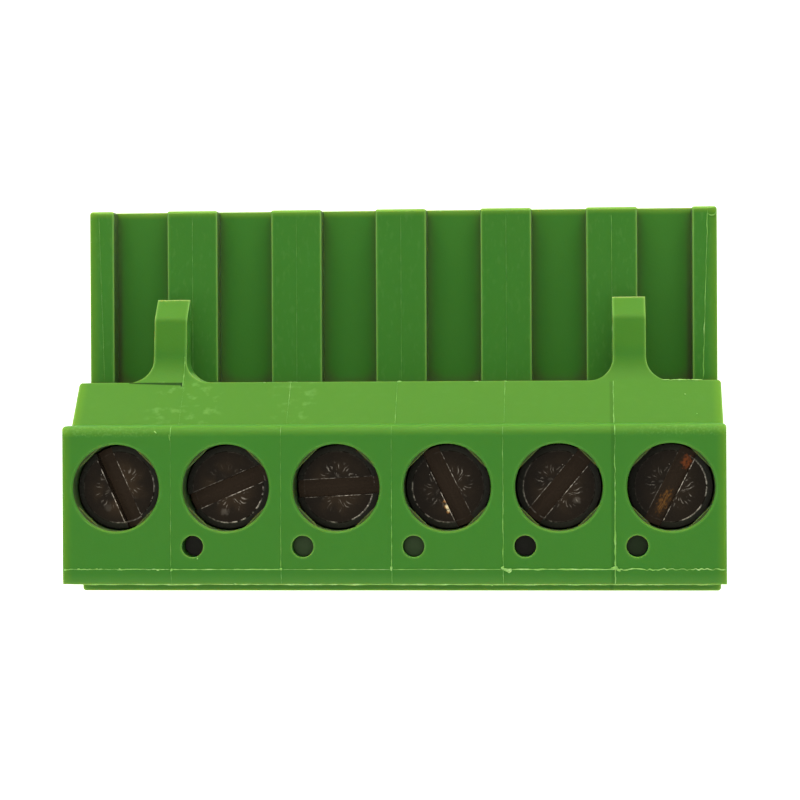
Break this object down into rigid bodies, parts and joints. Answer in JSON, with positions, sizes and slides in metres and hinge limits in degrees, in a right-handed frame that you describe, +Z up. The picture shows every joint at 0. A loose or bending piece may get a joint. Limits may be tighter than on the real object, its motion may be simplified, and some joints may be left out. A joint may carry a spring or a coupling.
{
  "type": "removable terminal block",
  "caption": "Plug-in terminal block with a row of screw clamps on top, wire funnels on one side and a ribbed plug nose with pin sockets on the other.",
  "frame": {"origin": "middle of the block's outline, on the plane of its underside", "axes": "+X along the row of clamps, +Y towards the plug nose, +Z up towards the screw heads"},
  "size_m": [0.0304, 0.0184, 0.015],
  "materials": {
    "housing_plastic": "moulded green polyamide, satin, with fine flash lines",
    "contact_metal": "tin-plated bronze",
    "cage_metal": "nickel-plated",
    "screw_metal": "dark brown passivated steel, scuffed by the driver"
  },
  "bodies": {
    "housing": {"housing": "housing_plastic", "contact_1": "contact_metal", "contact_2": "contact_metal", "contact_3": "contact_metal", "contact_4": "contact_metal", "contact_5": "contact_metal", "contact_6": "contact_metal"},
    "cage_1": {"cage_1": "cage_metal"},
    "cage_2": {"cage_2": "cage_metal"},
    "cage_3": {"cage_3": "cage_metal"},
    "cage_4": {"cage_4": "cage_metal"},
    "cage_5": {"cage_5": "cage_metal"},
    "cage_6": {"cage_6": "cage_metal"},
    "screw_1": {"screw_1": "screw_metal"},
    "screw_2": {"screw_2": "screw_metal"},
    "screw_3": {"screw_3": "screw_metal"},
    "screw_4": {"screw_4": "screw_metal"},
    "screw_5": {"screw_5": "screw_metal"},
    "screw_6": {"screw_6": "screw_metal"}
  },
  "joints": [
    {"name": "cage_1_lift", "type": "slide", "parent": "housing", "child": "cage_1", "axis": [0, 0, 1], "range_m": [0, 0.0028]},
    {"name": "cage_2_lift", "type": "slide", "parent": "housing", "child": "cage_2", "axis": [0, 0, 1], "range_m": [0, 0.0028]},
    {"name": "cage_3_lift", "type": "slide", "parent": "housing", "child": "cage_3", "axis": [0, 0, 1], "range_m": [0, 0.0028]},
    {"name": "cage_4_lift", "type": "slide", "parent": "housing", "child": "cage_4", "axis": [0, 0, 1], "range_m": [0, 0.0028]},
    {"name": "cage_5_lift", "type": "slide", "parent": "housing", "child": "cage_5", "axis": [0, 0, 1], "range_m": [0, 0.0028]},
    {"name": "cage_6_lift", "type": "slide", "parent": "housing", "child": "cage_6", "axis": [0, 0, 1], "range_m": [0, 0.0028]},
    {"name": "screw_1_turn", "type": "hinge", "parent": "housing", "child": "screw_1", "pos_m": [-0.0127, -0.00407, 0.0141], "axis": [0, 0, -1], "range_deg": [0, 2016]},
    {"name": "screw_2_turn", "type": "hinge", "parent": "housing", "child": "screw_2", "pos_m": [-0.00762, -0.00407, 0.0141], "axis": [0, 0, -1], "range_deg": [0, 2016]},
    {"name": "screw_3_turn", "type": "hinge", "parent": "housing", "child": "screw_3", "pos_m": [-0.00254, -0.00407, 0.0141], "axis": [0, 0, -1], "range_deg": [0, 2016]},
    {"name": "screw_4_turn", "type": "hinge", "parent": "housing", "child": "screw_4", "pos_m": [0.00254, -0.00407, 0.0141], "axis": [0, 0, -1], "range_deg": [0, 2016]},
    {"name": "screw_5_turn", "type": "hinge", "parent": "housing", "child": "screw_5", "pos_m": [0.00762, -0.00407, 0.0141], "axis": [0, 0, -1], "range_deg": [0, 2016]},
    {"name": "screw_6_turn", "type": "hinge", "parent": "housing", "child": "screw_6", "pos_m": [0.0127, -0.00407, 0.0141], "axis": [0, 0, -1], "range_deg": [0, 2016]}
  ],
  "couplings": [
    {"joint": "screw_1_turn", "follows": "cage_1_lift", "rad_per_m": 12566},
    {"joint": "screw_2_turn", "follows": "cage_2_lift", "rad_per_m": 12566},
    {"joint": "screw_3_turn", "follows": "cage_3_lift", "rad_per_m": 12566},
    {"joint": "screw_4_turn", "follows": "cage_4_lift", "rad_per_m": 12566},
    {"joint": "screw_5_turn", "follows": "cage_5_lift", "rad_per_m": 12566},
    {"joint": "screw_6_turn", "follows": "cage_6_lift", "rad_per_m": 12566}
  ]
}
